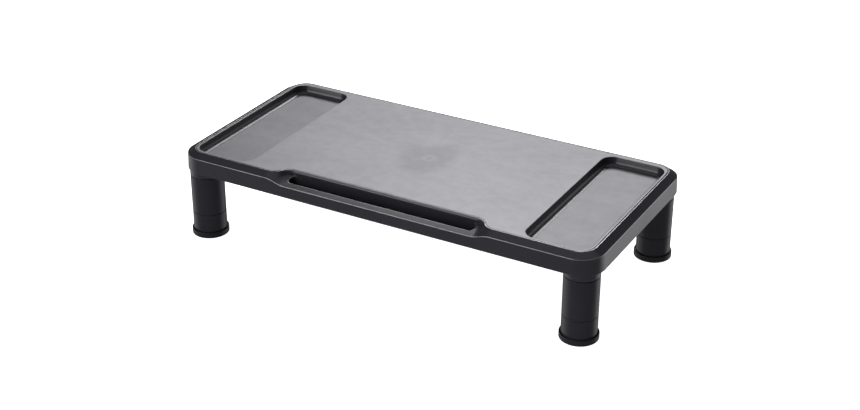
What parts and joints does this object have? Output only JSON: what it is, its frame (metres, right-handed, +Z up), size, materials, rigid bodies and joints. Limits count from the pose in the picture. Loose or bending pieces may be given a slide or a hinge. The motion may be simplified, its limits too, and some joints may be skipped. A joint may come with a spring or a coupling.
{
  "type": "monitor riser stand",
  "caption": "Low desk platform that raises a monitor: flat deck with a sunk tray at each end, a long front slot, and round push-fit legs on non-slip feet.",
  "frame": {"origin": "on the desk surface, under the middle of the platform", "axes": "+X along the width, +Y to the rear, +Z up; the slot faces -Y"},
  "size_m": [0.56, 0.2674, 0.1164],
  "materials": {
    "platform_plastic": "satin moulded charcoal plastic with fine flow marks",
    "column_plastic": "smooth moulded dark charcoal plastic",
    "foot_plastic": "moulded near-black plastic",
    "pad_rubber": "matt black non-slip rubber"
  },
  "bodies": {
    "platform": {"platform": "platform_plastic"},
    "front_left_upper_column": {"front_left_upper_column": "column_plastic"},
    "front_left_lower_column": {"front_left_lower_column": "column_plastic"},
    "front_left_foot": {"front_left_foot": "foot_plastic", "front_left_pad": "pad_rubber"},
    "front_right_upper_column": {"front_right_upper_column": "column_plastic"},
    "front_right_lower_column": {"front_right_lower_column": "column_plastic"},
    "front_right_foot": {"front_right_foot": "foot_plastic", "front_right_pad": "pad_rubber"},
    "rear_left_upper_column": {"rear_left_upper_column": "column_plastic"},
    "rear_left_lower_column": {"rear_left_lower_column": "column_plastic"},
    "rear_left_foot": {"rear_left_foot": "foot_plastic", "rear_left_pad": "pad_rubber"},
    "rear_right_upper_column": {"rear_right_upper_column": "column_plastic"},
    "rear_right_lower_column": {"rear_right_lower_column": "column_plastic"},
    "rear_right_foot": {"rear_right_foot": "foot_plastic", "rear_right_pad": "pad_rubber"}
  },
  "joints": [
    {"name": "front_left_upper_column_pull", "type": "slide", "parent": "platform", "child": "front_left_upper_column", "axis": [0, 0, -1], "range_m": [0, 0.02]},
    {"name": "front_left_lower_column_pull", "type": "slide", "parent": "front_left_upper_column", "child": "front_left_lower_column", "axis": [0, 0, -1], "range_m": [0, 0.02]},
    {"name": "front_left_foot_pull", "type": "slide", "parent": "front_left_lower_column", "child": "front_left_foot", "axis": [0, 0, -1], "range_m": [0, 0.02]},
    {"name": "front_right_upper_column_pull", "type": "slide", "parent": "platform", "child": "front_right_upper_column", "axis": [0, 0, -1], "range_m": [0, 0.02]},
    {"name": "front_right_lower_column_pull", "type": "slide", "parent": "front_right_upper_column", "child": "front_right_lower_column", "axis": [0, 0, -1], "range_m": [0, 0.02]},
    {"name": "front_right_foot_pull", "type": "slide", "parent": "front_right_lower_column", "child": "front_right_foot", "axis": [0, 0, -1], "range_m": [0, 0.02]},
    {"name": "rear_left_upper_column_pull", "type": "slide", "parent": "platform", "child": "rear_left_upper_column", "axis": [0, 0, -1], "range_m": [0, 0.02]},
    {"name": "rear_left_lower_column_pull", "type": "slide", "parent": "rear_left_upper_column", "child": "rear_left_lower_column", "axis": [0, 0, -1], "range_m": [0, 0.02]},
    {"name": "rear_left_foot_pull", "type": "slide", "parent": "rear_left_lower_column", "child": "rear_left_foot", "axis": [0, 0, -1], "range_m": [0, 0.02]},
    {"name": "rear_right_upper_column_pull", "type": "slide", "parent": "platform", "child": "rear_right_upper_column", "axis": [0, 0, -1], "range_m": [0, 0.02]},
    {"name": "rear_right_lower_column_pull", "type": "slide", "parent": "rear_right_upper_column", "child": "rear_right_lower_column", "axis": [0, 0, -1], "range_m": [0, 0.02]},
    {"name": "rear_right_foot_pull", "type": "slide", "parent": "rear_right_lower_column", "child": "rear_right_foot", "axis": [0, 0, -1], "range_m": [0, 0.02]}
  ]
}
